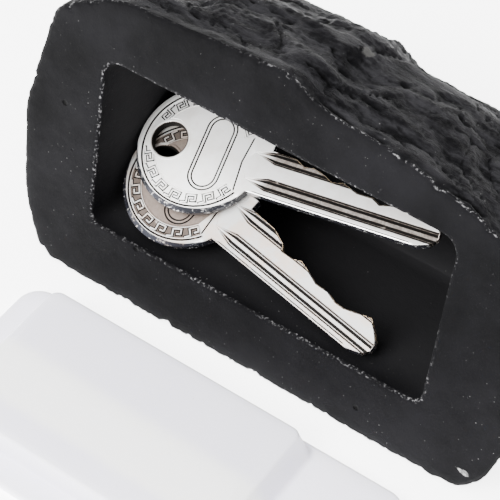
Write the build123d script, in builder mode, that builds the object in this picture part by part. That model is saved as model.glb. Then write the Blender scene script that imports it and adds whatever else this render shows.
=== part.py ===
"""Hide a key rock: a hollow cast stone, its cover and the two keys it hides. Millimetres, +Z up.

The stone stands on its long flat side, so its moulded base faces forwards (-Y) and leans back a little.
X runs along the stone. The origin is on the standing side, straight below the middle of the opening.
"""

import os
from math import cos, hypot, radians, sin, tan

from build123d import *

# ---- The opening in the base, and the compartment behind it ----
opening_length = 70.0
opening_height = 35.5
opening_upper_radius = 3.4
opening_lower_radius = 2.2
compartment_depth = 32.0
compartment_draft = 0.5  # degrees that each wall leans inwards

# ---- The stone ----
base_lean = 12.0  # degrees that the base leans back from upright
rim_left = 16.7  # stone beside the opening, from its edges to the outside
rim_right = 18.0
rim_above = 14.6
rim_below = 14.25
body_depth = 49.0  # from the base to the top of the dome
standing_cut = 3.0  # how far the uncut stone would reach below its standing side

# ---- The cover ----
plate_thickness = 2.0
plate_length = 82.5
plate_corner_radius = 4.5
plate_cover = 1.0  # how far the plate laps over the opening above and below
plug_length = 56.5
plug_width = 31.0
plug_height = 5.5  # side walls of the plug
plug_crown = 0.5  # rise of the plug's top to its middle line
plug_end_draft = 20.0  # degrees, the free end of the plug
plug_side_draft = 3.0
plug_corner_radius = 2.0
plug_clearance = 0.45  # between the plug and the opening
seat_gap = 0.15  # between the closed plate and the base
cover_place = 32.4  # from the stone's origin forwards to the middle of the cover that lies in front

# ---- The key blank ----
head_diameter = 24.0
key_thickness = 2.1
hole_diameter = 6.5
hole_offset = 6.2  # from the middle of the head, away from the blade
panel_offset = 2.6  # bare oblong panel, from the middle of the head towards the blade
panel_width = 5.8
panel_length = 15.2
panel_recess = 0.2
blade_reach = 46.7  # from the middle of the head to the tip
blade_back = 4.9  # straight edge, from the middle line of the head
blade_front = 3.6  # edge that the cuts are made in
collar_front = 5.5
collar_reach = 13.0
groove_depth = 0.65
groove_width = 2.3
groove_start = 9.7
groove_taper = 6.0
rear_groove_line = -2.65
front_groove_line = 2.45
tip_corners = [(3.7, -4.9), (1.1, -4.0), (0.0, -2.6), (0.0, -1.4), (0.7, -0.4)]  # short of the reach, and across
# The cut edge of each blade, as points along and across from the middle of the head.
lower_key_cuts = [(18.6, 3.4), (21.6, 2.3), (22.6, 1.1), (25.0, 1.3), (26.4, 2.0), (29.6, 1.1), (31.4, 0.5),
                  (34.0, 0.7), (36.3, 0.1), (38.2, 0.2), (40.2, 0.9), (43.0, 1.9), (44.9, 0.6)]
upper_key_cuts = [(17.5, 3.5), (19.4, 2.6), (21.0, 3.0), (23.6, 2.2), (25.2, 1.4), (27.0, 2.0), (30.3, 0.9),
                  (33.2, 0.9), (34.8, 0.1), (37.2, 0.7), (40.2, 1.2), (43.9, 0.3)]

# ---- How the keys lie ----
key_lean = 37.0  # degrees, front edge low and back edge high
key_floor_clearance = 0.35
key_stack_gap = 0.25
lower_key_from_end = 12.6  # middle of the head, from the end wall
lower_key_depth = 10.5  # middle of the head, behind the base
lower_key_swing = -9.8  # degrees in the plane of the key, tip towards the opening
upper_key_from_end = 12.4
upper_key_climb = 6.1  # up the slope from the lower key
upper_key_swing = 9.7

# ---- Worked out from the above ----
half_length = opening_length / 2
half_height = opening_height / 2
standing_line = half_height + rim_below  # from the middle of the opening to the standing side, along the base
centre_height = standing_line * cos(radians(base_lean))
outward = Vector(0, -cos(radians(base_lean)), sin(radians(base_lean)))
base_plane = Plane(origin=(0, 0, centre_height), x_dir=(1, 0, 0), z_dir=outward)

# ---- Stone ----
left_edge = -half_length - rim_left
right_edge = half_length + rim_right
upper_edge = half_height + rim_above
lower_edge = -standing_line - standing_cut


# The stone's uneven outline, going round from its left end: each corner's place along the half of the
# base that it lies in, as shares of the distances to the ends (x) and to the top (up).
outline_shares = [
    (-1.00, 0.02),
    (-0.98, -0.55),
    (-0.90, -0.90),
    (-0.76, -1.00),
    (0.76, -1.00),
    (0.92, -0.80),
    (0.99, -0.45),
    (1.00, 0.12),
    (0.94, 0.50),
    (0.74, 0.72),
    (0.42, 0.85),
    (0.13, 0.90),
    (0.02, 1.00),
    (-0.23, 0.985),
    (-0.65, 0.95),
    (-0.90, 0.72),
]

# Sections of the stone: share of the depth, how far the sides and the top are drawn in there, and how
# much further each corner is broken away, in the order of the outline.
sections = [
    (0.00, 0.0, 0.0, [0.0] * 16),
    (0.18, 0.2, 0.8, [0.0, 0.3, 0.0, 0.0, 0.0, 0.0, 0.4, 0.0, 0.7, 0.0, 0.9, 0.3, 0.0, 1.1, 0.2, 0.6]),
    (0.38, 1.0, 2.2, [0.6, 0.0, 0.5, 0.0, 0.0, 0.3, 0.0, 0.9, 0.0, 1.2, 0.0, 1.0, 1.4, 0.0, 0.9, 0.0]),
    (0.57, 2.4, 4.6, [0.0, 0.8, 0.0, 0.0, 0.0, 0.6, 0.8, 0.0, 1.1, 0.0, 1.2, 0.0, 0.6, 1.3, 0.0, 1.0]),
    (0.76, 6.6, 11.4, [1.0, 0.0, 0.9, 0.0, 0.0, 0.0, 1.2, 0.5, 0.0, 1.3, 0.0, 1.2, 0.0, 0.4, 1.2, 0.0]),
    (0.91, 14.0, 18.0, [0.0, 0.9, 0.0, 0.0, 0.0, 0.8, 0.0, 1.0, 0.6, 0.0, 1.2, 0.0, 1.0, 0.0, 0.8, 0.7]),
    (1.00, 22.0, 24.0, [0.0] * 16),
]


def stone_outline(side_inset, top_inset, broken):
    """Corners of the stone's outline, drawn in at its sides and top; the lower side stays nearly straight."""
    left, right = left_edge + side_inset, right_edge - side_inset
    top, lower = upper_edge - top_inset, lower_edge + 0.8 * side_inset
    corners = []
    for (along, up), loss in zip(outline_shares, broken):
        x = along * (right if along > 0 else -left)
        y = up * (top if up > 0 else -lower)
        reach = 1 - loss / hypot(x, y)
        corners.append((x * reach, y * reach))
    return corners


with BuildPart() as rock_body:
    for share, side_inset, top_inset, broken in sections:
        with BuildSketch(base_plane.offset(-share * body_depth)):
            with BuildLine():
                Polyline(*stone_outline(side_inset, top_inset, broken), close=True)
            make_face()
    loft(ruled=True)
    split(bisect_by=Plane.XY, keep=Keep.TOP)
    with BuildSketch(base_plane) as mouth:
        Rectangle(opening_length, opening_height)
        mouth_corners = mouth.vertices().group_by(Axis.Z)
        fillet(mouth_corners[-1], opening_upper_radius)
        fillet(mouth.vertices().group_by(Axis.Z)[0], opening_lower_radius)
    extrude(amount=-compartment_depth, taper=compartment_draft, mode=Mode.SUBTRACT)

rock_body.part.label = "rock_body"

# ---- Cover, lying in front of the stone with its plug up ----
# One turn about hinge_line takes the middle of its inner face to the middle of the opening.
cover_y = -cover_place
closing_turn = 90 + base_lean
inner_face = Vector(0, cover_y, plate_thickness)
closed_face = base_plane.origin + outward * seat_gap
chord = closed_face - inner_face
across_chord = Vector(1, 0, 0).cross(chord) * -1
hinge_line = (inner_face + closed_face) * 0.5 + across_chord * (0.5 / tan(radians(closing_turn / 2)))
plate_width = opening_height + 2 * plate_cover
plug_left = -half_length + plug_clearance
plug_far = cover_y + half_height - plug_clearance
plug_y = plug_far - plug_width / 2
plug_x = plug_left + plug_length / 2

with BuildPart() as lid:
    with BuildSketch(Plane.XY):
        with Locations((0, cover_y)):
            RectangleRounded(plate_length, plate_width, plate_corner_radius)
    extrude(amount=plate_thickness)
    with BuildSketch(Plane.XY.offset(plate_thickness)):
        with Locations((plug_x, plug_y)):
            RectangleRounded(plug_length, plug_width, plug_corner_radius)
    extrude(amount=plug_height + plug_crown, taper=plug_side_draft)
    plug_top = plate_thickness + plug_height
    with BuildSketch(Plane.YZ.offset(plug_left - 1)):
        with BuildLine():
            Polyline(
                (plug_y - plug_width, plug_top - plug_crown),
                (plug_y, plug_top + plug_crown),
                (plug_y + plug_width, plug_top - plug_crown),
                (plug_y + plug_width, plug_top + 4 * plug_crown),
                (plug_y - plug_width, plug_top + 4 * plug_crown),
                close=True,
            )
        make_face()
    extrude(amount=plug_length + 2, mode=Mode.SUBTRACT)
    free_end = plug_left + plug_length
    with BuildSketch(Plane.XZ.offset(-plug_far - 1)):
        with BuildLine():
            Polyline(
                (free_end, plate_thickness),
                (free_end + plug_height, plate_thickness),
                (free_end + plug_height, plug_top + 4 * plug_crown),
                (free_end - (plug_height + 4 * plug_crown) * tan(radians(plug_end_draft)), plug_top + 4 * plug_crown),
                close=True,
            )
        make_face()
    extrude(amount=plug_width + 2, mode=Mode.SUBTRACT)

lid.part.label = "lid"

# ---- Keys ----
head_radius = head_diameter / 2
up_base = Vector(0, sin(radians(base_lean)), cos(radians(base_lean)))
slope = up_base * sin(radians(key_lean)) - outward * cos(radians(key_lean))
key_normal = Vector(1, 0, 0).cross(slope)

# Lowest point of the leaning lower key, measured down from the middle of its head's upper face.
head_drop = head_radius * sin(radians(key_lean)) + key_thickness * cos(radians(key_lean))
tip_drop = (blade_reach * sin(radians(-lower_key_swing)) + blade_back * cos(radians(lower_key_swing))) * sin(
    radians(key_lean)
) + key_thickness * cos(radians(key_lean))
lower_key_rise = max(head_drop, tip_drop) + key_floor_clearance - half_height
lower_key_centre = (
    base_plane.origin
    + Vector(lower_key_from_end - half_length, 0, 0)
    - outward * lower_key_depth
    + up_base * lower_key_rise
)
upper_key_centre = (
    lower_key_centre
    + Vector(upper_key_from_end - lower_key_from_end, 0, 0)
    + slope * upper_key_climb
    + key_normal * (key_thickness + key_stack_gap)
)


def key_plane(centre, swing):
    """Plane of a key's upper face: origin at the middle of the head, X towards the tip."""
    towards_tip = Vector(1, 0, 0) * cos(radians(swing)) + slope * sin(radians(swing))
    return Plane(origin=centre, x_dir=towards_tip, z_dir=key_normal)


def make_key(plane, cuts):
    """One cylinder key: round head with a hole and a bare panel, collar, grooved and cut blade."""
    with BuildPart() as key:
        with BuildSketch(plane):
            Circle(head_radius)
            with BuildLine():
                Polyline(
                    (0, -blade_back),
                    *((blade_reach - short, across) for short, across in tip_corners),
                    *reversed(cuts),
                    (collar_reach, blade_front),
                    (collar_reach, collar_front),
                    (0, collar_front),
                    close=True,
                )
            make_face()
            with Locations((-hole_offset, 0)):
                Circle(hole_diameter / 2, mode=Mode.SUBTRACT)
        extrude(amount=-key_thickness)
        with BuildSketch(plane):
            with Locations((panel_offset, 0)):
                SlotOverall(panel_length, panel_width, rotation=90)
        extrude(amount=-panel_recess, mode=Mode.SUBTRACT)
        for face_plane, side in ((plane, 1), (plane.offset(-key_thickness), -1)):
            with BuildSketch(face_plane):
                for line in (rear_groove_line, front_groove_line):
                    with BuildLine():
                        Polyline(
                            (groove_start, line),
                            (groove_start + groove_taper, line - groove_width / 2),
                            (blade_reach + 1, line - groove_width / 2),
                            (blade_reach + 1, line + groove_width / 2),
                            (groove_start + groove_taper, line + groove_width / 2),
                            close=True,
                        )
                    make_face()
            extrude(amount=-side * groove_depth, mode=Mode.SUBTRACT)
    return key


lower_key = make_key(key_plane(lower_key_centre, lower_key_swing), lower_key_cuts)
lower_key.part.label = "lower_key"
upper_key = make_key(key_plane(upper_key_centre, upper_key_swing), upper_key_cuts)
upper_key.part.label = "upper_key"

# ---- Files ----
os.makedirs("parts", exist_ok=True)
export_step(rock_body.part, "parts/rock_body.step")
export_step(lid.part, "parts/lid.step")
export_step(lower_key.part, "parts/lower_key.step")
export_step(upper_key.part, "parts/upper_key.step")

push_home = plug_height + plug_crown + 0.3 - (lower_key_depth - head_radius * cos(radians(key_lean)))
print("cover turns", closing_turn, "degrees about", hinge_line)
print("opening centre z:", round(centre_height, 3), " keys pushed in by the plug:", round(push_home, 3))
print("lower key centre:", lower_key_centre, " upper key centre:", upper_key_centre)
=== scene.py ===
from math import atan2, cos, hypot, pi, radians, sin, tan

import bmesh
import bpy
import numpy as np
from mathutils import Matrix, Vector, noise
from mathutils.bvhtree import BVHTree
from mathutils.geometry import delaunay_2d_cdt


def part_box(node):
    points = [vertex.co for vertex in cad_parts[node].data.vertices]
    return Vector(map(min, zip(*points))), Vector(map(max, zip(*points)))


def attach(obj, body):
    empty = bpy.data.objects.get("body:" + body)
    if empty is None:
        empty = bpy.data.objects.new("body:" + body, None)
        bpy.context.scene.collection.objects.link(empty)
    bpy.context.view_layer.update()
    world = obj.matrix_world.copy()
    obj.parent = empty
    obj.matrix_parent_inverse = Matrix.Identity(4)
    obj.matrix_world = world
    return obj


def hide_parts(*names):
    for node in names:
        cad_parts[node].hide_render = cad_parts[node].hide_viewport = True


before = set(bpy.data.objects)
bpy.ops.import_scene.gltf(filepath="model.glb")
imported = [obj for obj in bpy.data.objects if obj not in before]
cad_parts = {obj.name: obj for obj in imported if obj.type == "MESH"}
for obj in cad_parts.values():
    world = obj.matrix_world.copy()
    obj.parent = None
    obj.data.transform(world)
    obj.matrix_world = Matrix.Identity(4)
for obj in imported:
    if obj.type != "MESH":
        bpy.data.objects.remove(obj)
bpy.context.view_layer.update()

# ---- Stone ----
# A hollow rock, cast in one piece from black resin filled with mineral powder. It stands on its long
# flat side; the smooth moulded base faces forwards and leans back, and has the key compartment in it.
# The other sides are rough, with long slate-like folds, chips along the ridge and pale specks.
MM = 0.001  # sizes are written in mm, and the scene is in metres
STONE_LEAN = radians(12)
STONE_OUT = Vector((0, -cos(STONE_LEAN), sin(STONE_LEAN)))  # out of the base
STONE_UP = Vector((0, sin(STONE_LEAN), cos(STONE_LEAN)))  # up along the base
MIDDLE_RISE = 32.0  # from the standing side up along the base to the middle of the opening
OPENING_MIDDLE = Vector((0, 0, MIDDLE_RISE * cos(STONE_LEAN) * MM))
OPENING_HALF = (35.0, 17.75)  # along and up
OPENING_RADII = (3.4, 2.2)  # upper and lower corners
COMPARTMENT_DEPTH = 32.0
WALL_DRAFT = tan(radians(0.5))
STONE_DEPTH = 49.0
FIRST_DEPTH, LAST_DEPTH = 0.05, 48.9  # of the rings that are cast onto the solid's sides
RAY_START = 0.2  # metres, well outside the stone
AROUND = 640  # points around the stone
FINE_STEPS = 4000  # directions that are tried to space those points
CAP_STEPS = 26  # rings that close the back
WEAR_ROUNDS = 12


def from_base(x, up, depth):
    """A point given by its place on the base, in mm from the middle of the opening, and its depth behind it."""
    return OPENING_MIDDLE + (Vector((x, 0, 0)) + STONE_UP * up - STONE_OUT * depth) * MM


def opening_edge(direction, drawn_in):
    """Where a ray from the middle of the opening meets its edge, with rounded corners."""
    half_x, half_up = OPENING_HALF[0] - drawn_in, OPENING_HALF[1] - drawn_in
    c, s = cos(direction), sin(direction)
    radius = OPENING_RADII[0] if s > 0 else OPENING_RADII[1]
    reach = min(half_x / max(abs(c), 1e-9), half_up / max(abs(s), 1e-9))
    corner = (half_x - radius, half_up - radius)
    if abs(reach * c) > corner[0] and abs(reach * s) > corner[1]:
        along = abs(c) * corner[0] + abs(s) * corner[1]
        reach = along + (along**2 - corner[0] ** 2 - corner[1] ** 2 + radius**2) ** 0.5
    return reach * c, reach * s


def merged_copy(node):
    """Mesh of a frame node with its loose triangles joined up."""
    mesh = bmesh.new()
    mesh.from_mesh(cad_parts[node].data)
    bmesh.ops.remove_doubles(mesh, verts=mesh.verts, dist=1e-6)
    return mesh


stone_solid = merged_copy("rock_body")
stone_surface = BVHTree.FromBMesh(stone_solid)
stone_solid.free()


def outer_point(direction, depth):
    """Where a ray from outside meets the stone, aimed square at the line behind the opening's middle."""
    axis = from_base(0, 0, depth)
    ray = Vector((cos(direction), 0, 0)) + STONE_UP * sin(direction)
    return stone_surface.ray_cast(axis + ray * RAY_START, -ray)[0]


def even_directions():
    """Directions from the middle of the opening that space points evenly along the base's outline."""
    fine = [2 * pi * k / FINE_STEPS for k in range(FINE_STEPS + 1)]
    points = [outer_point(a, FIRST_DEPTH) for a in fine]
    run = np.concatenate([[0], np.cumsum([(q - p).length for p, q in zip(points, points[1:])])])
    return np.interp(np.linspace(0, run[-1], AROUND + 1)[:-1], run, fine)


directions = even_directions()
outer_depths = np.concatenate([
    [FIRST_DEPTH, 0.4, 0.8, 1.2, 1.6, 2.0, 2.5],
    np.arange(3.1, 38.0, 0.75),
    np.arange(38.0, 45.0, 0.4),
    np.arange(45.0, LAST_DEPTH, 0.2),
    [LAST_DEPTH],
])
cap_scales = np.linspace(1.0, 0.0, CAP_STEPS)[1:-1]
ring_depths = [*outer_depths, *[STONE_DEPTH] * len(cap_scales)]
shell = np.array([[outer_point(a, d) for a in directions] for d in outer_depths])
cap_middle = np.array(from_base(0, -2.0, STONE_DEPTH))
cap = np.array([cap_middle + (shell[-1] - cap_middle) * s for s in cap_scales])
shell = np.concatenate([shell, cap])

for _ in range(WEAR_ROUNDS):  # wears the solid's facets round
    rounder = shell.copy()
    around = (np.roll(shell, 2, 1) + np.roll(shell, -2, 1)) / 2
    rounder[1:-1] = shell[1:-1] * 0.4 + around[1:-1] * 0.3 + (shell[:-2] + shell[2:]) * 0.15
    rounder[0] = shell[0] * 0.5 + around[0] * 0.5
    rounder[-1] = shell[-1]
    shell = rounder


def grid_normals(grid):
    """Unit normals of a grid of points, in rings around the stone."""
    along = np.roll(grid, -1, 1) - np.roll(grid, 1, 1)
    across = np.gradient(grid, axis=0)
    normals = np.cross(across, along)
    return normals / np.maximum(np.linalg.norm(normals, axis=2, keepdims=True), 1e-12)


normals = grid_normals(shell)
middle = shell.reshape(-1, 3).mean(0)
if ((shell - middle) * normals).sum() < 0:  # they point out of the stone
    normals = -normals


def split(value, width):
    """1 in the middle of a crack, where a noise crosses zero, falling to 0 at the given width."""
    return max(0.0, 1 - abs(value) / width)


def folds(place):
    """How far the rough sides lie below the outside at a place, in mm, and how cracked they are, 0 to 1, which sets
    the shade painted into the cracks.
    """
    # Layers along the stone, which wander a little, with ledges and cracks between them.
    bend = noise.noise(place * 0.045) * 6.0 + noise.noise(place * 0.13 + Vector((7, 3, 1))) * 1.6
    layer = Vector((place.x * 0.03, (place.y + bend) * 0.13, (place.z - bend * 0.6) * 0.13))
    swell = (0.5 - noise.noise(layer + Vector((3.1, 0, 8.2)))) * 1.5
    ledge = (0.5 - noise.noise(layer * 2.6 + Vector((0.4, 6.1, 2.2)))) * 0.6
    crack = split(noise.noise(layer * 1.9 + Vector((5.5, 1.2, 0.3))), 0.07) * 0.55
    crack += split(noise.noise(layer * 4.6 + Vector((2.5, 7.2, 1.3))), 0.10) * 0.22
    # Hollows and knobs, and a grain that is coarser in places.
    hollow = max(0.0, noise.noise(place * 0.085 + Vector((11.0, 5.0, 2.0))) - 0.1) * 1.6
    knob = (0.5 - noise.noise(place * 0.22 + Vector((1.0, 9.0, 4.0)))) * 0.45
    grit = max(0.0, min(1.0, 0.4 + 2.2 * noise.noise(place * 0.11 + Vector((4.0, 4.0, 9.0)))))
    grain = (0.5 - noise.noise(place * 1.0)) * 0.20 + (0.5 - noise.noise(place * 2.2)) * 0.22 * grit
    return swell + ledge + crack + hollow + knob + grain - 0.9, min(1.0, crack * 1.6)


def crevice(place, depth):
    """Depth in mm of the split that runs along the ridge, just behind the base. Its darkness is painted shade."""
    along = noise.noise(Vector((place.x * 0.16, 2.0, 7.0)))
    middle = 1.7 + along * 1.3
    open_here = max(0.0, min(1.0, (place.x - 1.0) / 4.0)) * max(0.0, min(1.0, 0.25 + 3.0 * along))
    return open_here * 1.5 * max(0.0, 1 - abs(depth - middle) / 0.8)


def notch(along, foot):
    """How far the outline of the base is worn in, along its length in mm. foot is 1 on the side it stands on."""
    wave = noise.noise(Vector((along * 0.07, 1.7, 0))) * 0.5 + noise.noise(Vector((along * 0.27, 5.1, 0))) * 0.25
    chip = max(0.0, noise.noise(Vector((along * 0.42, 9.3, 0))) - 0.28) * 2.4
    rubble = max(0.0, noise.noise(Vector((along * 0.8, 6.4, 0)))) * 0.9
    rubble += abs(noise.noise(Vector((along * 2.1, 2.3, 0)))) * 0.3
    return max(0.0, wave + 0.08) + chip + rubble * foot


FADE_START, FADE_DEPTH = 0.10, 6.0  # share of the relief at the base, and mm over which it grows
OUTLINE_RADIUS = 48.0  # turns a direction into mm along the outline
crack_shade = np.zeros((len(shell), AROUND))
for ring, depth in enumerate(ring_depths):
    fade = min(1.0, FADE_START + depth / FADE_DEPTH)
    for k in range(AROUND):
        place, normal = Vector(shell[ring, k]), Vector(normals[ring, k])
        on_rest = max(0.0, min(1.0, (-normal.z - 0.55) / 0.35))  # the flat side it stands on
        top = max(0.0, min(1.0, normal.z * 1.6 - 0.3))
        dip, crack = folds(place / MM)
        dip = dip * (0.8 + 0.3 * top) * fade * (1 - on_rest) + 0.04 * on_rest
        ridge_split = top * crevice(place / MM, depth)
        dip = max(0.0, dip) + ridge_split
        # Painted shade: how dark the cracks and the split along the ridge are coloured.
        crack_shade[ring, k] = max(crack * fade * (1 - on_rest), min(1.0, ridge_split))
        worn = notch(directions[k] * OUTLINE_RADIUS, 0.3 + 0.7 * on_rest) * max(0.0, 1 - depth / (2.2 + 3 * on_rest))
        inwards = (STONE_UP * on_rest - normal * (1 - on_rest)).normalized()
        shell[ring, k] = place - normal * dip * MM + inwards * 0.9 * worn * MM
        shell[ring, k, 2] = max(shell[ring, k, 2], 0.0)

rim = []  # the worn outline of the base, in mm along and up from the middle of the opening
for point in shell[0]:
    flat = Vector(point) - OPENING_MIDDLE
    rim.append((flat.x / MM, flat.dot(STONE_UP) / MM))

stone = bmesh.new()
worn_edge = stone.verts.layers.float.new("edge")
rough_side = stone.verts.layers.float.new("rough")
compartment = stone.verts.layers.float.new("inside")
crack_shade_layer = stone.verts.layers.float.new("crack")
chipped = stone.verts.layers.float.new("chip")
CHIPS = [  # larger knocks that show paler resin: place and radius in mm
    (Vector((-27.6, 6.5, 61.7)), 0.9),
    (Vector((45.3, -5.5, 5.5)), 1.0),
    (Vector((2.9, 26.6, 53.7)), 1.5),
    (Vector((18.3, 37.7, 43.1)), 1.7),
]


def add_ring(points, edge=0.0, rough=0.0, inside=0.0, crack_shades=None):
    """A ring of the stone's points, with what its material reads there. edge may differ along the ring."""
    ring = []
    for k, point in enumerate(points):
        vert = stone.verts.new(point)
        vert[worn_edge] = edge if np.isscalar(edge) else edge[k]
        vert[rough_side], vert[compartment] = rough, inside
        vert[chipped] = max(0.0, max(1 - (vert.co / MM - place).length / radius for place, radius in CHIPS))
        vert[crack_shade_layer] = crack_shades[k] if crack_shades is not None else 0
        ring.append(vert)
    return ring


def join_rings(first, second):
    """Faces between two neighbouring rings."""
    for k in range(len(first)):
        n = (k + 1) % len(first)
        stone.faces.new((first[k], first[n], second[n], second[k]))


FLOOR_STEPS = 7
FLOOR_ROUNDING = 0.5  # of the corner between the compartment's walls and its bottom
WALL_DEPTHS = (31.6, 29.0, 25.0, 20.0, 15.0, 10.0, 6.0, 3.0, 1.4, 0.6)
MOUTH_OUT = 0.3  # how far the worn edge of the opening reaches over the base
FACE_STEPS = 14
FACE_STOP = 1.25  # where the flat of the base ends, short of its outline
rings = []
floor_edge = [opening_edge(a, COMPARTMENT_DEPTH * WALL_DRAFT + FLOOR_ROUNDING) for a in directions]
for scale in np.linspace(0.0, 1.0, FLOOR_STEPS)[1:]:  # bottom of the compartment
    rings.append(add_ring([from_base(x * scale, u * scale, COMPARTMENT_DEPTH) for x, u in floor_edge], inside=1))
for depth in WALL_DEPTHS:
    wall_edge = [opening_edge(a, depth * WALL_DRAFT) for a in directions]
    rings.append(add_ring([from_base(x, u, depth) for x, u in wall_edge], edge=0.25 if depth < 1 else 0,
                          inside=min(1, depth / 8)))
for depth, out in ((0.32, 0.0), (0.1, 0.08), (0.0, MOUTH_OUT)):  # mouth, with small chips
    points = []
    for direction in directions:
        chip = max(0.0, noise.noise(Vector((direction * 61.0, 3.0, 0))) - 0.2) * 1.8
        x, u = opening_edge(direction, -out * (1 + chip * 1.5))
        points.append(from_base(x, u, depth * (1 + chip * 2.0)))
    rings.append(add_ring(points, edge=1.0))
for step in range(1, FACE_STEPS):  # flat of the base
    fraction = step / FACE_STEPS
    points = []
    for direction, (x1, u1) in zip(directions, rim):
        x0, u0 = opening_edge(direction, -MOUTH_OUT)
        shrink = 1 - FACE_STOP / hypot(x1, u1)
        x, u = x0 + (x1 * shrink - x0) * fraction, u0 + (u1 * shrink - u0) * fraction
        dish = 0.10 * noise.noise(Vector((x * 0.12, u * 0.12, 4.0))) + 0.03 * noise.noise(Vector((x, u, 1.0)))
        points.append(from_base(x, u, max(0.0, dish) * sin(pi * fraction)))
    rings.append(add_ring(points, edge=0.15 if step in (1, FACE_STEPS - 1) else 0))
ridge_worn = np.where(np.sin(directions) > 0.3, 1.0, 0.72)  # the ridge is knocked more than the rest
for inner, depth, edge in ((0.80, 0.05, 0.0), (0.50, 0.16, 0.3), (0.22, 0.36, 1.0)):  # its rounded outer edge
    points = []
    for x1, u1 in rim:
        shrink = 1 - inner / hypot(x1, u1)
        points.append(from_base(x1 * shrink, u1 * shrink, depth))
    rings.append(add_ring(points, edge=edge * ridge_worn))
for ring in range(1, len(shell)):  # rough sides and back
    rings.append(add_ring(
        [Vector(p) for p in shell[ring]],
        edge=ridge_worn if ring < 3 else 0,
        rough=min(1, ring_depths[ring] / 3),
        crack_shades=crack_shade[ring],
    ))
for first, second in zip(rings, rings[1:]):
    join_rings(first, second)
back_middle = sum((v.co for v in rings[-1]), Vector()) / AROUND
for ring, centre in ((rings[0], from_base(0, 0, COMPARTMENT_DEPTH)), (rings[-1], back_middle)):
    hub = stone.verts.new(centre)
    for k in range(AROUND):
        stone.faces.new((ring[k], ring[(k + 1) % AROUND], hub))
bmesh.ops.recalc_face_normals(stone, faces=stone.faces)
for face in stone.faces:
    face.smooth = True


def finished_piece(name, mesh, material, crease=None):
    """A shown object at the origin, from a bmesh or a mesh. Edges sharper than crease, in degrees, stay sharp."""
    if isinstance(mesh, bmesh.types.BMesh):
        made = bpy.data.meshes.new(name)
        mesh.to_mesh(made)
        mesh.free()
    else:
        made = mesh
    made.materials.clear()
    made.materials.append(material)
    if crease is not None:
        made.polygons.foreach_set("use_smooth", [True] * len(made.polygons))
        made.set_sharp_from_angle(angle=radians(crease))
    piece = bpy.data.objects.new(name, made)
    bpy.context.scene.collection.objects.link(piece)
    return piece


class Signal:
    """A value in a material's node tree. Arithmetic on it adds Math nodes; node() adds any other."""

    def __init__(self, tree, socket=None):
        self.tree, self.socket = tree, socket

    def node(self, kind, settings=None, sockets=None, out=0):
        new = self.tree.nodes.new(kind)
        for name, value in (settings or {}).items():
            if name == "stops":
                while len(new.color_ramp.elements) < len(value):
                    new.color_ramp.elements.new(0.5)
                for element, (position, colour) in zip(new.color_ramp.elements, value):
                    element.position, element.color = position, colour
            else:
                setattr(new, name, value)
        for name, value in (sockets or {}).items():
            if isinstance(value, Signal):
                self.tree.links.new(value.socket, new.inputs[name])
            else:
                new.inputs[name].default_value = value
        return Signal(self.tree, new.outputs[out])

    def maths(self, operation, *terms):
        return self.node("ShaderNodeMath", {"operation": operation}, dict(enumerate(terms)))

    def __add__(self, other):
        return self.maths("ADD", self, other)

    def __mul__(self, other):
        return self.maths("MULTIPLY", self, other)

    def __truediv__(self, other):
        return self.maths("DIVIDE", self, other)

    def __sub__(self, other):
        return self.maths("SUBTRACT", self, other)

    def __rsub__(self, other):
        return self.maths("SUBTRACT", other, self)

    __radd__, __rmul__ = __add__, __mul__

    def attribute(self, name):
        """What the mesh's points carry under this name."""
        return self.node("ShaderNodeAttribute", {"attribute_name": name}, out="Fac")

    def noise(self, scale, detail, roughness):
        """Noise over this place."""
        return self.node(
            "ShaderNodeTexNoise", {}, {"Vector": self, "Scale": scale, "Detail": detail, "Roughness": roughness}
        )

    def between(self, low, high):
        """0 below low, 1 above high, smooth between."""
        return self.node(
            "ShaderNodeMapRange", {"interpolation_type": "SMOOTHSTEP"}, {"Value": self, 1: low, 2: high}
        )

    def mix(self, low, high):
        """Colour that goes from low to high as this value goes from 0 to 1."""
        return self.node("ShaderNodeMix", {"data_type": "RGBA"}, {0: self, 6: low, 7: high}, out=2)


def new_material(name, colour, roughness, **constants):
    """A material with a Principled surface, a signal to draw its nodes from, and its shader node."""
    made = bpy.data.materials.new(name)
    made.use_nodes = True
    shader = made.node_tree.nodes["Principled BSDF"]
    shader.inputs["Base Color"].default_value = (*colour, 1)
    shader.inputs["Roughness"].default_value = roughness
    for socket, value in constants.items():
        shader.inputs[socket.replace("_", " ")].default_value = value
    return made, Signal(made.node_tree), shader


def feed(signal, shader, socket):
    """Link a signal to one of the shader's sockets."""
    signal.tree.links.new(signal.socket, shader.inputs[socket])


def grey(level, tint=1.0):
    """A near grey. tint is its share of blue."""
    return (level, level * 0.985, level * tint, 1)


cast_stone, draw, stone_shader = new_material(
    "cast_stone_black", (0.006, 0.006, 0.007), 0.6, Specular_IOR_Level=0.03
)
spot = draw.node("ShaderNodeTexCoord", out="Object")
edge = draw.attribute("edge")
rough = draw.attribute("rough")
inside = draw.attribute("inside")
crack = draw.attribute("crack")
chip = draw.attribute("chip")
cloud = spot.noise(45.0, 4.0, 0.6)
mottle = spot.noise(420.0, 5.0, 0.65)
powder = spot.noise(2600.0, 3.0, 0.6)
seams = draw.node("ShaderNodeMapping", {}, {"Vector": spot, "Scale": (0.22, 1.0, 1.0)})
streak = seams.noise(520.0, 6.0, 0.7)
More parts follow.
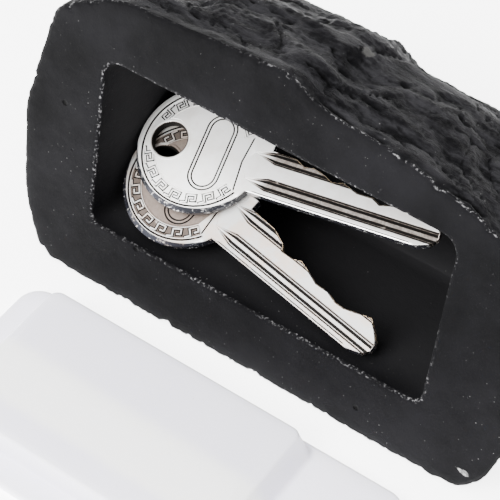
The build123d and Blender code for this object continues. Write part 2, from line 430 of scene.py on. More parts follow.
# Crumbs of pale mineral powder: a few on the base, more on its edge and on the streaks of the rough sides.
crumb_cell = {"feature": "F1"}
crumb_far = draw.node("ShaderNodeTexVoronoi", crumb_cell, {"Vector": spot, "Scale": 480.0}, out="Distance")
crumb_id = draw.node("ShaderNodeTexVoronoi", crumb_cell, {"Vector": spot, "Scale": 480.0}, out="Color")
crumb_pick = crumb_id.node("ShaderNodeSeparateColor", {}, {0: crumb_id})
crumb_size = crumb_pick.between(0.78, 1.0) * cloud.between(0.4, 0.75) * 0.08
crumb_size = crumb_size + edge * mottle.between(0.55, 0.75) * 0.035
crumb_size = crumb_size + rough * streak.between(0.62, 0.8) * 0.10
crumbs = 1 - (crumb_far - crumb_size).between(-0.01, 0.03)
# Smaller dots outside the compartment, and scuffs on the worn edges.
dot_far = draw.node("ShaderNodeTexVoronoi", crumb_cell, {"Vector": spot, "Scale": 900.0}, out="Distance")
dot_id = draw.node("ShaderNodeTexVoronoi", crumb_cell, {"Vector": spot, "Scale": 900.0}, out="Color")
dot_pick = dot_id.node("ShaderNodeSeparateColor", {}, {0: dot_id})
dots = (1 - dot_far.between(0.03, 0.13)) * dot_pick.between(0.45, 0.9) * cloud.between(0.36, 0.6) * (1 - inside)
scuff = spot.noise(1900.0, 3.0, 0.6)
scratch = edge.between(0.6, 1.0) * scuff.between(0.52, 0.66) * cloud.between(0.35, 0.6) * 0.6
pale = crumbs * mottle.between(0.32, 0.5)
# The colour, from the black resin to what lies on it and in it, with painted shade in its cracks and pinholes.
tone = cloud.between(0.3, 0.75).mix(grey(0.0015, 1.16), grey(0.0054, 1.14))
side_tone = streak.between(0.38, 0.68).mix(grey(0.0026, 1.14), grey(0.024, 1.08))
tone = (rough * 0.8).mix(tone, side_tone)
tone = (powder.between(0.5, 0.8) * 0.2).mix(tone, grey(0.009))
tone = inside.mix(tone, grey(0.012, 1.05))
# Painted shade: the cracks and the split along the ridge are coloured near black.
tone = (crack.between(0.35, 0.9) * 0.85).mix(tone, grey(0.0006))
tone = scratch.mix(tone, grey(0.22))
chip_here = (chip + mottle * 0.9).between(0.62, 0.80)
chip_tone = rough.mix(scuff.between(0.45, 0.7).mix(grey(0.10, 1.0), grey(0.40, 0.95)), grey(0.045, 0.95))
tone = chip_here.mix(tone, chip_tone)
tone = (pale * 0.9).mix(tone, grey(0.55, 0.97))
tone = (dots * 0.8).mix(tone, grey(0.16, 0.97))
# Pinholes: small dents, coloured near black as painted shade.
pinhole_far = draw.node("ShaderNodeTexVoronoi", crumb_cell, {"Vector": spot, "Scale": 95.0}, out="Distance")
pinhole_and_shade = 1 - pinhole_far.between(0.025, 0.065)
tone = (pinhole_and_shade * 0.9).mix(tone, grey(0.0008))
feed(tone, stone_shader, "Base Color")
feed(0.5 + mottle * 0.25 - rough * 0.08 + pale * 0.1, stone_shader, "Roughness")
relief = powder * 0.25 + mottle * 0.6 + rough * (streak * 2.0 + scuff * 0.7) + pale * 0.5 - pinhole_and_shade * 4
stone_bump = draw.node("ShaderNodeBump", {}, {"Strength": 0.55, "Distance": 0.00035, "Height": relief})
feed(stone_bump, stone_shader, "Normal")

rock = finished_piece("stone", stone, cast_stone)
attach(rock, "rock")
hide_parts("rock_body")

# ---- Cover ----
# The cover is moulded in one piece from soft white plastic that lets some light through: a thin plate
# with rounded corners, and on it a raised plug that presses into the opening. The plug's top rises a
# little to its middle line, and its free end slopes. It lies in front of the stone with the plug up.
COVER_BOX = [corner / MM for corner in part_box("lid")]
PLATE_THICKNESS = 2.0
PLATE_CORNER = 4.5
PLUG_LENGTH, PLUG_WIDTH, PLUG_CORNER = 56.5, 31.0, 2.0
PLUG_LEFT = -34.55
PLUG_LAP = 1.45  # from the plate's far edge to the plug
PLUG_END_SLOPE = tan(radians(20))
PLUG_SIDE_SLOPE = tan(radians(3))
PLUG_FOOT = 0.7  # radius of the fillet at the foot of the plug
FOOT_STEPS = 4
CROWN_ROUND = 2  # the crown is rounded so far to each side of its middle line
CORNER_STEPS = 14
TOP_STEPS = (60, 24)  # along and across the plug's top
TOP_MARGIN = 1.2 * MM


def rounded_outline(x_low, x_high, y_low, y_high, radius):
    """Points around a rectangle with rounded corners."""
    points = []
    corners = ((x_high, y_high, 0), (x_low, y_high, 90), (x_low, y_low, 180), (x_high, y_low, 270))
    for x, y, start in corners:
        middle_x = x - radius if x == x_high else x + radius
        middle_y = y - radius if y == y_high else y + radius
        for k in range(CORNER_STEPS + 1):
            a = radians(start + 90 * k / CORNER_STEPS)
            points.append((middle_x + radius * cos(a), middle_y + radius * sin(a)))
    return points


def cover_mesh():
    """The cover as one closed mesh, in rings from the middle of its underside to the top of its plug."""
    (x0, y0, _), (x1, y1, z1) = COVER_BOX
    plug_far = y1 - PLUG_LAP
    plug_near = plug_far - PLUG_WIDTH
    plug_right = PLUG_LEFT + PLUG_LENGTH
    crown_line = (plug_far + plug_near) / 2
    wall_top = z1 - PLATE_THICKNESS
    mesh = bmesh.new()
    rings = []

    def ring(outline, height):
        """A ring of points over an outline, at the height that each place has."""
        rings.append([mesh.verts.new(Vector((x, y, height(x, y))) * MM) for x, y in outline])

    def plate(inset, z):
        """A ring of the plate: inset rounds its edge."""
        outline = rounded_outline(x0 + inset, x1 - inset, y0 + inset, y1 - inset, PLATE_CORNER - inset)
        ring(outline, lambda x, y: z)

    def plug(inset, rise, level):
        """A ring of the plug: inset rounds its edge, rise sets its draft, level is its height over the plate."""
        side = inset + rise * PLUG_SIDE_SLOPE
        outline = rounded_outline(
            PLUG_LEFT + side, plug_right - inset - rise * PLUG_END_SLOPE, plug_near + side, plug_far - side,
            max(PLUG_CORNER - 0.3 * inset, 0.4),
        )
        ring(outline, lambda x, y: PLATE_THICKNESS + level(y))

    def crowned(drop):
        """Height over the plate of the plug's top, which falls from its middle line, or of a line below it."""
        return lambda y: wall_top - drop - abs(y - crown_line) / (PLUG_WIDTH / 2)

    for inset, z in ((3.0, 0.0), (0.7, 0.0), (0.28, 0.12), (0.06, 0.38), (0.0, 0.75)):  # lower edge of the plate
        plate(inset, z)
    for inset, z in ((0.0, 1.3), (0.06, 1.62), (0.28, 1.88), (0.7, 2.0)):  # and its upper edge
        plate(inset, z)
    for step in range(FOOT_STEPS + 1):
        a = radians(90 * step / FOOT_STEPS)
        out, rise = PLUG_FOOT * (1 - sin(a)), PLUG_FOOT * (1 - cos(a))
        plug(-out, rise, lambda y, rise=rise: rise)
    for drop, inset in ((0.7, 0.0), (0.4, 0.05), (0.17, 0.17), (0.05, 0.36), (0.0, 0.62)):
        plug(inset, wall_top - 0.5, crowned(drop))
    last = rings[-1]
    for first, second in zip(rings, rings[1:]):
        for k in range(len(first)):
            n = (k + 1) % len(first)
            mesh.faces.new((first[k], first[n], second[n], second[k]))
    mesh.faces.new(rings[0][::-1])
    # The top is closed over a grid of points, so that it folds softly on its middle line.
    count = len(last)
    top_points = [v.co.copy() for v in last]
    x_low = min(p.x for p in top_points)
    x_high = max(p.x for p in top_points)
    y_low = min(p.y for p in top_points)
    y_high = max(p.y for p in top_points)
    flat = [Vector((p.x, p.y)) for p in top_points]
    edges = [(k, (k + 1) % count) for k in range(count)]
    inner = []
    for i in range(1, TOP_STEPS[0]):
        for j in range(1, TOP_STEPS[1]):
            x = x_low + (x_high - x_low) * i / TOP_STEPS[0]
            y = y_low + (y_high - y_low) * j / TOP_STEPS[1]
            if x_low + TOP_MARGIN < x < x_high - TOP_MARGIN and y_low + TOP_MARGIN < y < y_high - TOP_MARGIN:
                inner.append(Vector((x, y)))
    points, _, faces, from_points, _, _ = delaunay_2d_cdt(flat + inner, edges, [list(range(count))], 1, 1e-7)
    level = crowned(0.0)
    verts = []
    for point, sources in zip(points, from_points):
        ours = [s for s in sources if s < count]
        if ours:
            verts.append(last[ours[0]])
        else:
            soft = level(point.y / MM)
            near = abs(point.y / MM - crown_line)
            if near < CROWN_ROUND:
                soft -= (CROWN_ROUND - near) ** 2 / (2 * CROWN_ROUND) / (PLUG_WIDTH / 2)
            verts.append(mesh.verts.new((point.x, point.y, (PLATE_THICKNESS + soft) * MM)))
    for face in faces:
        mesh.faces.new([verts[k] for k in face])
    bmesh.ops.recalc_face_normals(mesh, faces=mesh.faces)
    return mesh


cover_plastic, draw, cover_shader = new_material(
    "cover_white_plastic", (0.8, 0.8, 0.84), 0.42, Subsurface_Weight=0.35, Subsurface_Scale=0.004
)
cover_shader.inputs["Subsurface Radius"].default_value = (1.0, 0.95, 0.9)
spot = draw.node("ShaderNodeTexCoord", out="Object")
haze = spot.noise(60.0, 3.0, 0.5)
skin = spot.noise(1800.0, 4.0, 0.6)
dust_far = draw.node("ShaderNodeTexVoronoi", {"feature": "F1"}, {"Vector": spot, "Scale": 120.0}, out="Distance")
dust = 1 - dust_far.between(0.012, 0.03)
across = draw.node("ShaderNodeSeparateXYZ", {}, {0: spot}, out=1)
# Painted light: a lighter band along the near side of the plug's middle line.
painted_light_band = (across / MM).between(-41.5, -38.5) * (1 - (across / MM).between(-31.5, -27.5))
tint = (painted_light_band * 0.9 + haze.between(0.35, 0.65) * 0.1).mix((0.84, 0.83, 0.93, 1), (1.0, 1.0, 1.0, 1))
feed((dust * 0.35).mix(tint, (0.55, 0.55, 0.57, 1)), cover_shader, "Base Color")
feed(0.36 + skin * 0.14, cover_shader, "Roughness")
cover_bump = draw.node("ShaderNodeBump", {}, {"Strength": 0.2, "Distance": 0.0001, "Height": skin})
feed(cover_bump, cover_shader, "Normal")

cover = finished_piece("cover", cover_mesh(), cover_plastic, crease=50)
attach(cover, "lid")
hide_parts("lid")

# ---- Keys ----
# Two cylinder keys stamped from brass strip and nickel plated. The round head has a raised rim, a
# struck border of bent lines, a hole for the ring and a bare oblong panel; the blade is milled with two
# grooves on each face and cut along one edge, where the cutter has left bare brass.
HEAD_RADIUS = 12.0
KEY_THICKNESS = 2.1
HOLE_MIDDLE, HOLE_RADIUS = (-6.2, 0.0), 3.25
PANEL_MIDDLE, PANEL_HALF = 2.5, 4.4  # the panel's place along the key, and half its straight length
BLADE_REACH, BLADE_BACK, BLADE_FRONT = 46.7, 4.9, 3.6
COLLAR_FRONT, COLLAR_REACH = 5.5, 13.0
# Points of the outline, along the key and across it: the tip, and the edge that is cut.
TIP = [(43.0, -4.9), (45.6, -4.0), (46.7, -2.6), (46.7, -1.4), (46.0, -0.4)]
LOWER_CUTS = [(18.6, 3.4), (21.6, 2.3), (22.6, 1.1), (25.0, 1.3), (26.4, 2.0), (29.6, 1.1), (31.4, 0.5),
              (34.0, 0.7), (36.3, 0.1), (38.2, 0.2), (40.2, 0.9), (43.0, 1.9), (44.9, 0.6)]
UPPER_CUTS = [(17.5, 3.5), (19.4, 2.6), (21.0, 3.0), (23.6, 2.2), (25.2, 1.4), (27.0, 2.0), (30.3, 0.9),
              (33.2, 0.9), (34.8, 0.1), (37.2, 0.7), (40.2, 1.2), (43.9, 0.3)]
CUTS_FROM = 14.5
GROOVES = (-2.65, 2.45)  # their middle lines, across the key
GROOVE_START, GROOVE_TAPER, GROOVE_HALF = 9.7, 4.5, 1.32  # where they start, widen over, and half their width
GROOVE_SHARES = (0.22, 0.30, 0.58, 0.66, 0.84, 1.0)  # across half a groove, from its middle
GROOVE_LEVELS = (0.42, 0.64, 0.64, 0.34, 0.34, 0.0)  # how deep they are there
GROOVE_DIRT_AND_SHADE = {  # and how dark they are coloured: dirt, and painted shade on their floors
    "lower_key": (0.0, 1.0, 1.0, 0.0, 0.9, 0.0),
    "upper_key": (0.45, 1.0, 1.0, 0.5, 0.95, 0.0),
}
PANEL_LINES = (2.04, 2.10, 2.30, 2.36, 2.68, 2.74, 2.94, 3.00)  # out from the panel's middle line
PANEL_LEVELS = (0.04, 0.16, 0.16, 0.0, 0.0, 0.16, 0.16)  # the depth at all but the last
HOLE_LINES = (HOLE_RADIUS, 3.60, 3.86, 3.95, 4.08)  # out from the middle of the hole
HOLE_LEVELS = (0.26, 0.0, 0.0, 0.12)
NECK_LINE, NECK_SPAN = 8.3, (-5.4, 4.6)  # the line struck across the neck: its place, and its ends
NECK_LEAN, NECK_DEPTH = 0.1, 0.16
WORN_FROM, WORN_TO, WORN = 188, 333, 0.95  # where the head's edge is worn round: degrees, and mm inwards
BACK_FROM, BACK_TO, BACK_WORN = 10.9, 43, 0.5  # and the blade's back: mm along the key, and mm inwards
WORN_SLOPE = 0.8
CUT_INSETS = (0.16, 0.34)  # lines that follow the outline, inside it
BEVEL = 0.13  # how far the face is bevelled down at its outline


def arc(middle, radius, start, sweep, steps):
    """Points along an arc. Its start and sweep are in degrees."""
    turns = [radians(start + sweep * k / steps) for k in range(steps + 1)]
    return [(middle[0] + radius * cos(a), middle[1] + radius * sin(a)) for a in turns]


def key_outline(cuts):
    """A key's outline: round head, back and tip of the blade, cut edge and collar."""
    collar_angle = np.degrees(atan2(COLLAR_FRONT, (HEAD_RADIUS**2 - COLLAR_FRONT**2) ** 0.5))
    back_angle = 360 - np.degrees(atan2(BLADE_BACK, (HEAD_RADIUS**2 - BLADE_BACK**2) ** 0.5))
    head = arc((0, 0), HEAD_RADIUS, collar_angle, back_angle - collar_angle, 150)
    return head + TIP + cuts[::-1] + [(COLLAR_REACH, BLADE_FRONT), (COLLAR_REACH, COLLAR_FRONT)]


def outline_distance(outline, points):
    """Distance of each point from the key's outline."""
    a = np.array(outline)
    b = np.roll(a, -1, 0)
    best = np.full(len(points), 1e9)
    for p, q in zip(a, b):
        span = q - p
        length = max(span @ span, 1e-12)
        t = np.clip(((points - p) @ span) / length, 0, 1)
        best = np.minimum(best, np.linalg.norm(points - (p + t[:, None] * span), axis=1))
    return best


def drawn_in(outline, inset):
    """The outline moved inwards by a small inset at every corner."""
    points = np.array(outline)
    before, after = points - np.roll(points, 1, 0), np.roll(points, -1, 0) - points
    before /= np.maximum(np.linalg.norm(before, axis=1, keepdims=True), 1e-9)
    after /= np.maximum(np.linalg.norm(after, axis=1, keepdims=True), 1e-9)
    turn = before + after
    turn /= np.maximum(np.linalg.norm(turn, axis=1, keepdims=True), 1e-9)
    left = np.stack([-turn[:, 1], turn[:, 0]], 1)
    share = np.maximum((left * np.stack([-before[:, 1], before[:, 0]], 1)).sum(1), 0.4)
    return [tuple(p) for p in points + left * (inset / share)[:, None]]


def worn_width(turn):
    """How far the worn edge of the head reaches in, at a direction in degrees."""
    share = (turn % 360 - WORN_FROM) / (WORN_TO - WORN_FROM)
    return WORN * max(0.0, sin(pi * min(1.0, max(0.0, share)))) ** 0.6


def worn_drop(u, v):
    """How far the worn edge of the head or of the blade's back lies below the face."""
    if u < BACK_FROM:
        width = worn_width(np.degrees(atan2(v, u)))
        return WORN_SLOPE * max(0.0, hypot(u, v) - HEAD_RADIUS + width) if width > 0.02 else 0.0
    width = BACK_WORN * min(1.0, (u - BACK_FROM) / 1.5) * min(1.0, max(0.0, BACK_TO - u))
    return WORN_SLOPE * max(0.0, width - BLADE_BACK - v)


RIM_RINGS = [  # radius and height below the face, from the outside in
    (11.84, 0.10), (11.50, 0.0), (11.06, 0.0), (11.0, 0.16), (10.74, 0.16), (10.68, 0.0),
    (10.50, 0.0), (10.42, 0.13), (8.62, 0.13), (8.54, 0.0), (8.40, 0.0), (8.34, 0.10), (8.24, 0.10), (8.18, 0.0),
]
RIM_RADII = [radius for radius, _ in RIM_RINGS][::-1]
RIM_LEVELS = [level for _, level in RIM_RINGS][::-1]
NECK_ANGLES = (31, 33)  # the struck rings fade out here, in degrees on both sides of the blade


def groove_half(u):
    """Half the width of a groove at a place along the key."""
    return GROOVE_HALF * min(1.0, max(0.0, (u - GROOVE_START) / GROOVE_TAPER))


def key_height(u, v):
    """Depth of a key's face below its highest plane, in mm."""
    r = hypot(u, v)
    depth = 0.0
    if RIM_RADII[0] < r < HEAD_RADIUS + 0.2:
        band = float(np.interp(r, RIM_RADII, RIM_LEVELS))
        depth = band * float(np.interp(abs(atan2(v, u)), [radians(a) for a in NECK_ANGLES], [0, 1]))
    panel = hypot(u - PANEL_MIDDLE, max(0.0, abs(v) - PANEL_HALF))
    depth = float(np.interp(panel, PANEL_LINES, [*PANEL_LEVELS, depth]))
    hole = hypot(u - HOLE_MIDDLE[0], v - HOLE_MIDDLE[1])
    depth = float(np.interp(hole, HOLE_LINES, [*HOLE_LEVELS, depth]))
    if NECK_SPAN[0] < v < NECK_SPAN[1]:
        depth = max(depth, NECK_DEPTH if abs(u - NECK_LINE - NECK_LEAN * abs(v)) < 0.11 else 0)
    half = groove_half(u)
    for line in GROOVES:
        off = abs(v - line)
        if half > 0 and off < half:
            cut = float(np.interp(off / half, GROOVE_SHARES, GROOVE_LEVELS))
            depth = max(depth, cut * min(1.0, half / GROOVE_HALF * 1.4))
    return max(depth, worn_drop(u, v))


def groove_dirt_and_shade(u, v, levels):
    """How dark a groove is coloured at a point, for dirt and painted shade, from its own levels across half its
    width.
    """
    dirt_and_shade_here = 0.0
    half = groove_half(u)
    for line in GROOVES:
        if half > 0.05 and abs(v - line) < half:
            dirt_and_shade_here = max(dirt_and_shade_here, float(np.interp(abs(v - line) / half, GROOVE_SHARES, levels)))
    return dirt_and_shade_here


def face_plan(outline):
    """Points and triangles of a key's face, with an edge along every line where its height changes."""
    points, edges = [], []

    def line(chain, closed):
        """Adds a chain of points with the edges between them."""
        start = len(points)
        points.extend(Vector(p) for p in chain)
        edges.extend((start + k, start + k + 1) for k in range(len(chain) - 1))
        if closed:
            edges.append((start + len(chain) - 1, start))
        return list(range(start, start + len(chain)))

    outer = line(outline, True)
    for inset in CUT_INSETS:
        line(drawn_in(outline, inset), True)
    for radius, _ in RIM_RINGS:
        line(arc((0, 0), radius, NECK_ANGLES[0], 360 - 2 * NECK_ANGLES[0], 149), False)
    for side in (1, -1):
        for angle in NECK_ANGLES:
            a = radians(angle * side)
            line([(8.0 * cos(a), 8.0 * sin(a)), (11.8 * cos(a), 11.8 * sin(a))], False)
        for off in (-0.16, -0.1, 0.1, 0.16):
            end = NECK_SPAN[(side + 1) // 2]
            line([(NECK_LINE + off, 0), (NECK_LINE + off + NECK_LEAN * abs(end), end)], False)
    for grow in PANEL_LINES:
        upper = arc((PANEL_MIDDLE, PANEL_HALF), grow, 0, 180, 20)
        lower = arc((PANEL_MIDDLE, -PANEL_HALF), grow, 180, 180, 20)
        line(upper + lower, True)
    turns = np.linspace(WORN_FROM + 2, WORN_TO - 2, 70)
    for outwards in (0, 0.14):
        line([arc((0, 0), HEAD_RADIUS - worn_width(t) + outwards * worn_width(t), t, 0, 1)[0] for t in turns], False)
    for share in (1, 0.7):
        worn = share * BACK_WORN - BLADE_BACK
        line([(11.0, 0.03 - BLADE_BACK), (12.4, worn), (42, worn), (42.9, 0.03 - BLADE_BACK)], False)
    hole = line(arc(HOLE_MIDDLE, HOLE_RADIUS, 0, 360, 60)[:-1], True)
    for radius in HOLE_LINES[1:]:
        line(arc(HOLE_MIDDLE, radius, 0, 360, 60)[:-1], True)
    for middle in GROOVES:
        for share in [-x for x in GROOVE_SHARES[::-1]] + list(GROOVE_SHARES):
            half = GROOVE_HALF * share
            line([(GROOVE_START + 0.3, middle + half * 0.05), (GROOVE_START + GROOVE_TAPER, middle + half),
                  (BLADE_REACH - 0.25, middle + half)], False)
    made = delaunay_2d_cdt(points, edges, [outer, hole], 1, 1e-5)
    plan_points, plan_faces, face_sources = made[0], made[2], made[5]
    kept = [face for face, source in zip(plan_faces, face_sources) if 0 in source and 1 not in source]
    return np.array([tuple(p) for p in plan_points]), kept


def key_mesh(placed, cuts, stain, groove_levels):
    """A key's closed mesh where it lies: its face, the same below, and the wall between them."""
    outline = key_outline(cuts)
    plan, faces = face_plan(outline)
    far = outline_distance(outline, plan)
    depth = np.array([key_height(u, v) for u, v in plan])
    depth = np.maximum(depth, BEVEL * (1 - np.clip(far / CUT_INSETS[0], 0, 1)))
    mesh = bmesh.new()
    bare = mesh.verts.layers.float.new("bare")
    dirt = mesh.verts.layers.float.new("dirt")
    wall_reflection_layer = mesh.verts.layers.float.new("wall")
    upper, lower = [], []
    for (u, v), d, edge_far in zip(plan, depth, far):
        for side, store in ((1, upper), (-1, lower)):
            z = -d if side > 0 else -KEY_THICKNESS + d
            vert = mesh.verts.new(placed @ Vector((u, v, z)) * MM)
            drop = worn_drop(u, v)
            if u > 10:
                vert[dirt] = groove_dirt_and_shade(u, v, groove_levels)
            else:
                # The struck ground carries a real stain; struck lines deeper than 0.135 mm are coloured dark as
                # painted shade.
                ground = stain * (0.6 if hypot(u, v) < 8.5 else 0.7 if d > 0.12 else 0.1)
                vert[dirt] = max(ground, float(np.interp(d, [0.135, 0.15], [0, 1])))
            if drop > 0.04:
                vert[dirt] = 0
            on_cut = u > CUTS_FROM and v > -0.6 and edge_far < CUT_INSETS[0] + 0.02
            # The side walls, the cut flanks and the worn edges are marked for a painted dark reflection.
            vert[wall_reflection_layer] = 1.0 if edge_far < 0.01 or on_cut else min(1.0, drop / 0.12)
            store.append(vert)
    used = {}  # each side of a triangle, in the order made; one that is used once lies on the outline or the hole
    for face in faces:
        mesh.faces.new([upper[k] for k in face])
        mesh.faces.new([lower[k] for k in face[::-1]])
        for a, b in zip(face, face[1:] + face[:1]):
            used[(a, b)] = True
    for a, b in used:
        if (b, a) not in used:
            mesh.faces.new((upper[b], upper[a], lower[a], lower[b]))
            u, v = (plan[a] + plan[b]) / 2
            if u > CUTS_FROM and v > -0.3 and far[a] < 0.01:
                for vert in (upper[a], upper[b], lower[a], lower[b]):
                    vert[bare] = 1.0
    loose = [vert for vert in mesh.verts if not vert.link_faces]
    bmesh.ops.delete(mesh, geom=loose, context="VERTS")
    bmesh.ops.recalc_face_normals(mesh, faces=mesh.faces)
    return mesh


KEY_LEAN = radians(37)
SLOPE = -STONE_OUT * cos(KEY_LEAN) + STONE_UP * sin(KEY_LEAN)
KEY_UP = Vector((1, 0, 0)).cross(SLOPE)


def key_place(middle, swing):
    """Matrix, in mm, from a key's own plane to the place where it lies."""
    to_tip = Vector((1, 0, 0)) * cos(radians(swing)) + SLOPE * sin(radians(swing))
    across = KEY_UP.cross(to_tip)
    return Matrix.Translation(middle) @ Matrix((to_tip, across, KEY_UP)).transposed().to_4x4()


def border_tree(material):
    """Geometry Nodes that strike a border of bent lines along an arc, and the names of its inputs."""
    tree = bpy.data.node_groups.new("struck_border", "GeometryNodeTree")
    face = tree.interface
    names = {}
    for name, value in (  # mm, and radians for Start and Sweep
        ("Radius", 9.5), ("Start", 0.6), ("Sweep", 2.0), ("Pitch", 2.8), ("Line", 0.24), ("Reach", 1.36),
        ("Rise", 0.2), ("Outline", 0.23), ("Outline Depth", 0.078),
    ):
        socket = face.new_socket(name=name, in_out="INPUT", socket_type="NodeSocketFloat")
        socket.default_value = value
        names[name] = socket.identifier
    face.new_socket(name="Geometry", in_out="OUTPUT", socket_type="NodeSocketGeometry")
    nodes, links = tree.nodes, tree.links
    given = nodes.new("NodeGroupInput")
    result = nodes.new("NodeGroupOutput")

    def add(kind, settings=None, sockets=None):
        """A node of the given kind, with its settings and the values or links of its sockets."""
        node = nodes.new(kind)
        for name, value in (settings or {}).items():
            setattr(node, name, value)
        for name, value in (sockets or {}).items():
            if isinstance(value, bpy.types.NodeSocket):
                links.new(value, node.inputs[name])
            else:
                node.inputs[name].default_value = value
        return node

    def maths(operation, a, b):
        return add("ShaderNodeMath", {"operation": operation}, {0: a, 1: b}).outputs[0]

    line, reach, pitch, rise = (given.outputs[n] for n in ("Line", "Reach", "Pitch", "Rise"))
    outline, outline_depth = given.outputs["Outline"], given.outputs["Outline Depth"]
    bars = []
    # Each bar of the bent line: middle and length, as shares of the pitch along it and of its reach across.
    for x, y, along, across in (
        (-0.30, 0.0, 0, 1.0), (-0.02, 0.5, 0.56, 0), (0.26, 0.14, 0, 0.72), (0.13, -0.22, 0.26, 0),
        (-0.48, -0.5, 0.36, 0),
    ):
        size = add("ShaderNodeCombineXYZ", {}, {
            "X": maths("ADD", maths("MULTIPLY", pitch, along), line),
            "Y": maths("ADD", maths("MULTIPLY", reach, across), line), "Z": rise,
        })
        place = add("ShaderNodeCombineXYZ", {}, {
            "X": maths("MULTIPLY", pitch, x), "Y": maths("MULTIPLY", reach, y),
            "Z": maths("MULTIPLY", rise, -0.5),
        })
        cube = add("GeometryNodeMeshCube", {}, {"Size": size.outputs[0]})
        bars.append(add("GeometryNodeTransform", {}, {"Geometry": cube.outputs[0], "Translation": place.outputs[0]}))
        # The dark outline is a wider slab below the bar, coloured dark as painted shade along the bar's walls.
        wider = add("ShaderNodeCombineXYZ", {}, {
            "X": maths("MULTIPLY", outline, 2), "Y": maths("MULTIPLY", outline, 2),
        })
        wide = add("ShaderNodeVectorMath", {"operation": "ADD"}, {0: size.outputs[0], 1: wider.outputs[0]})
        lower = add("ShaderNodeCombineXYZ", {}, {"Z": maths("MULTIPLY", outline_depth, -1)})
        sunk = add("ShaderNodeVectorMath", {"operation": "ADD"}, {0: place.outputs[0], 1: lower.outputs[0]})
        shade_slab = add("GeometryNodeMeshCube", {}, {"Size": wide.outputs[0]})
        bars.append(add("GeometryNodeTransform", {}, {"Geometry": shade_slab.outputs[0], "Translation": sunk.outputs[0]}))
    unit = add("GeometryNodeJoinGeometry")
    for bar in bars:
        links.new(bar.outputs[0], unit.inputs[0])
    path = add("GeometryNodeCurveArc", {"mode": "RADIUS"}, {
        "Resolution": 96, "Radius": given.outputs["Radius"], "Start Angle": given.outputs["Start"],
        "Sweep Angle": given.outputs["Sweep"],
    })
    stops = add("GeometryNodeCurveToPoints", {"mode": "LENGTH"}, {"Curve": path.outputs[0], "Length": pitch})
    facing = add("FunctionNodeAlignRotationToVector", {"axis": "X", "pivot_axis": "Z"}, {
        "Vector": stops.outputs["Tangent"],
    })
    copies = add("GeometryNodeInstanceOnPoints", {}, {
        "Points": stops.outputs["Points"], "Instance": unit.outputs[0], "Rotation": facing.outputs[0],
    })
    real = add("GeometryNodeRealizeInstances", {}, {0: copies.outputs[0]})
    dressed = add("GeometryNodeSetMaterial", {}, {"Geometry": real.outputs[0], "Material": material})
    links.new(dressed.outputs[0], result.inputs[0])
    return tree, names


def struck_border(tree, names, sizes):
    """The border baked to a plain mesh in the key's own plane."""
    holder = bpy.data.objects.new("border_maker", bpy.data.meshes.new("border_maker"))
    bpy.context.scene.collection.objects.link(holder)
    modifier = holder.modifiers.new("border", "NODES")
    modifier.node_group = tree
    for name, value in sizes.items():
        modifier[names[name]] = value
    bpy.context.view_layer.update()
    ready = holder.evaluated_get(bpy.context.evaluated_depsgraph_get())
    baked = bpy.data.meshes.new_from_object(ready)
    bpy.data.objects.remove(holder)
    return baked


def nickel(name, stain):
    """Worn nickel plate over brass, with painted dark reflections on its walls and painted shade in its struck lines,
    grooves and border. stain is how brown the struck ground has become.
    """
    made, draw, shader = new_material(name, (0.9, 0.88, 0.85), 0.25, Metallic=0.6, Specular_IOR_Level=0.1)
    spot = draw.node("ShaderNodeTexCoord", out="Object")
    bare = draw.attribute("bare")
    dirt = draw.attribute("dirt")
    wall = draw.attribute("wall")
    drawn = draw.node("ShaderNodeMapping", {}, {"Vector": spot, "Scale": (0.05, 1.0, 1.0)})
    hair = drawn.noise(3800.0, 3.0, 0.6)
    patch = spot.noise(240.0, 5.0, 0.65)
    fine = spot.noise(1500.0, 4.0, 0.6)
    # Dirt and painted shade: brown grime, going to near black in the struck lines, the grooves and under the border's
    # bars.
    grime_and_shade = dirt.between(0.1, 0.9) * patch.between(0.2, 0.4)
    clean = 1 - 0.65 * stain
    plate = patch.between(0.35, 0.7).mix((0.99 * clean, 0.985 * clean, 0.97 * clean, 1),
                                         (0.95 * clean, 0.93 * clean, 0.90 * clean, 1))
    plate = (patch.between(0.42, 0.62) * stain).mix(plate, (0.50, 0.42, 0.36, 1))
    # Painted reflection: the walls and worn edges are coloured near-black navy, as if mirroring the dark compartment.
    plate = (wall.between(0.5, 0.9) * fine.between(0.24, 0.46) * 0.98).mix(plate, (0.009, 0.010, 0.016, 1))
    plate = grime_and_shade.between(0, 0.5).mix(plate, (0.15, 0.118, 0.10, 1))
    speckle = grime_and_shade.between(0.2, 0.5) * (1 - grime_and_shade.between(0.6, 0.9)) * fine.between(0.42, 0.62) * (0.7 - 0.8 * stain)
    plate = speckle.mix(plate, (0.5, 0.46, 0.42, 1))
    # Painted shade: the deepest marks are coloured near black.
    plate = (grime_and_shade.between(0.4, 0.85) * 0.99).mix(plate, (0.006, 0.0055, 0.005, 1))
    brass = fine.between(0.3, 0.7).mix((0.80, 0.66, 0.46, 1), (0.62, 0.45, 0.28, 1))
    feed((bare.between(0.5, 0.9) * patch.between(0.3, 0.55) * 0.8).mix(plate, brass), shader, "Base Color")
    feed(0.34 + hair * 0.10 - wall * 0.22 + grime_and_shade * 0.2, shader, "Roughness")
    bump = draw.node("ShaderNodeBump", {}, {"Strength": 0.05, "Distance": 0.00004, "Height": hair})
    feed(bump, shader, "Normal")
    return made


BORDER_ARCS = ((38, 116), (206, 116))  # start and sweep in degrees, on both sides of the blade
BORDER_SINK = 0.04  # how far the border's own plane lies below the face
GROUND_DEPTH = 0.1  # what lies deeper than this in the border is painted dark, as shade


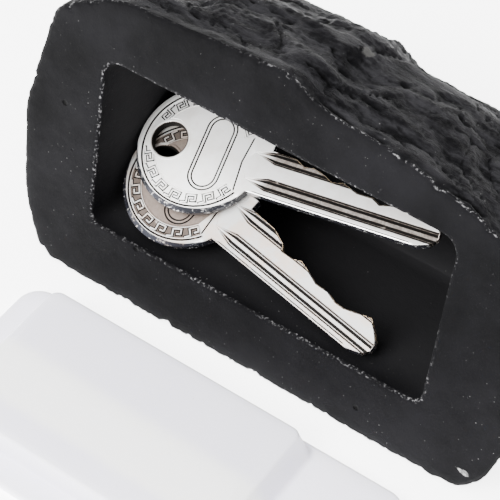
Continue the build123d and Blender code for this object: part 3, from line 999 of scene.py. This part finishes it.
def add_key(name, node, body, middle, swing, cuts, stain):
    """One key with its border: its place in mm, its turn in its own plane in degrees, its cuts and its stain."""
    placed = key_place(middle, swing)
    metal = nickel(name + "_nickel", stain)
    key = finished_piece(name + "_blank", key_mesh(placed, cuts, stain, GROOVE_DIRT_AND_SHADE[name]), metal, crease=14)
    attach(key, body)
    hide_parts(node)
    tree, names = border_tree(metal)
    border = bmesh.new()
    from_key = placed.inverted()
    upper_face = Matrix.Translation((0, 0, -BORDER_SINK))
    lower_face = Matrix.Translation((0, 0, -KEY_THICKNESS + BORDER_SINK)) @ Matrix.Scale(-1, 4, (0, 0, 1))
    for start, sweep in BORDER_ARCS:
        for on_face in (upper_face, lower_face):
            part = struck_border(tree, names, {"Start": radians(start), "Sweep": radians(sweep)})
            part.transform(Matrix.Scale(MM, 4) @ placed @ on_face)
            # The slabs below the face are marked to be coloured dark, as painted shade.
            ground = part.attributes.new("dirt", "FLOAT", "POINT")
            for vert in part.vertices:
                height = (from_key @ (vert.co / MM)).z
                sunk = -KEY_THICKNESS + GROUND_DEPTH < height < -GROUND_DEPTH
                ground.data[vert.index].value = 1.0 if sunk else 0.0
            border.from_mesh(part)
            bpy.data.meshes.remove(part)
    bmesh.ops.recalc_face_normals(border, faces=border.faces)
    ornament = finished_piece(name + "_border", border, metal, crease=28)
    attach(ornament, body)


add_key("lower_key", "lower_key", "lower_key", Vector((-22.4, 8.60033, 21.2599)), -9.8, LOWER_CUTS, 0.8)
add_key("upper_key", "upper_key", "upper_key", Vector((-22.6, 13.1357, 25.9677)), 9.7, UPPER_CUTS, 0.12)

# ---- Table, light and camera ----
# A plain white table, a large soft light overhead, a stronger one in front and to the left, and a white
# room. The camera stands in front of the stone, above it and to its right, with a long lens.
table_mesh = bmesh.new()
bmesh.ops.create_grid(table_mesh, x_segments=1, y_segments=1, size=4.0)
table_white, _, table_shader = new_material("table_white", (0.9, 0.9, 0.9), 0.9)
table_shader.inputs["Emission Color"].default_value = (1, 1, 1, 1)
table_shader.inputs["Emission Strength"].default_value = 4.5
table = finished_piece("table", table_mesh, table_white)
table.location.z = -0.3 * MM


def soft_light(name, place, aim, size, power):
    """A round area light at a place in metres, turned to its aim, with its power in watts."""
    light = bpy.data.lights.new(name, "AREA")
    light.shape, light.size, light.energy = "DISK", size, power
    holder = bpy.data.objects.new(name, light)
    holder.location = place
    holder.rotation_euler = (Vector(aim) - Vector(place)).to_track_quat("-Z", "Y").to_euler()
    bpy.context.scene.collection.objects.link(holder)


AIM = (0, 0, 0.03)
soft_light("overhead", (-0.3, -0.25, 1.2), AIM, 0.9, 14)
soft_light("front", (-0.25, -1.0, 0.95), AIM, 0.8, 46)
room = bpy.data.worlds.new("room")
room.use_nodes = True
room.node_tree.nodes["Background"].inputs["Color"].default_value = (1, 1, 1, 1)
room.node_tree.nodes["Background"].inputs["Strength"].default_value = 1.5
bpy.context.scene.world = room

CAMERA_PLACE = Vector((126.18, -179.62, 285.41)) * MM
CAMERA_VIEW = Vector((-0.37610, 0.52558, -0.76310))
camera_data = bpy.data.cameras.new("camera")
camera_data.lens, camera_data.sensor_width = 144, 36
camera = bpy.data.objects.new("camera", camera_data)
camera.location = CAMERA_PLACE
camera.rotation_euler = CAMERA_VIEW.to_track_quat("-Z", "Y").to_euler()
bpy.context.scene.collection.objects.link(camera)
bpy.context.scene.camera = camera
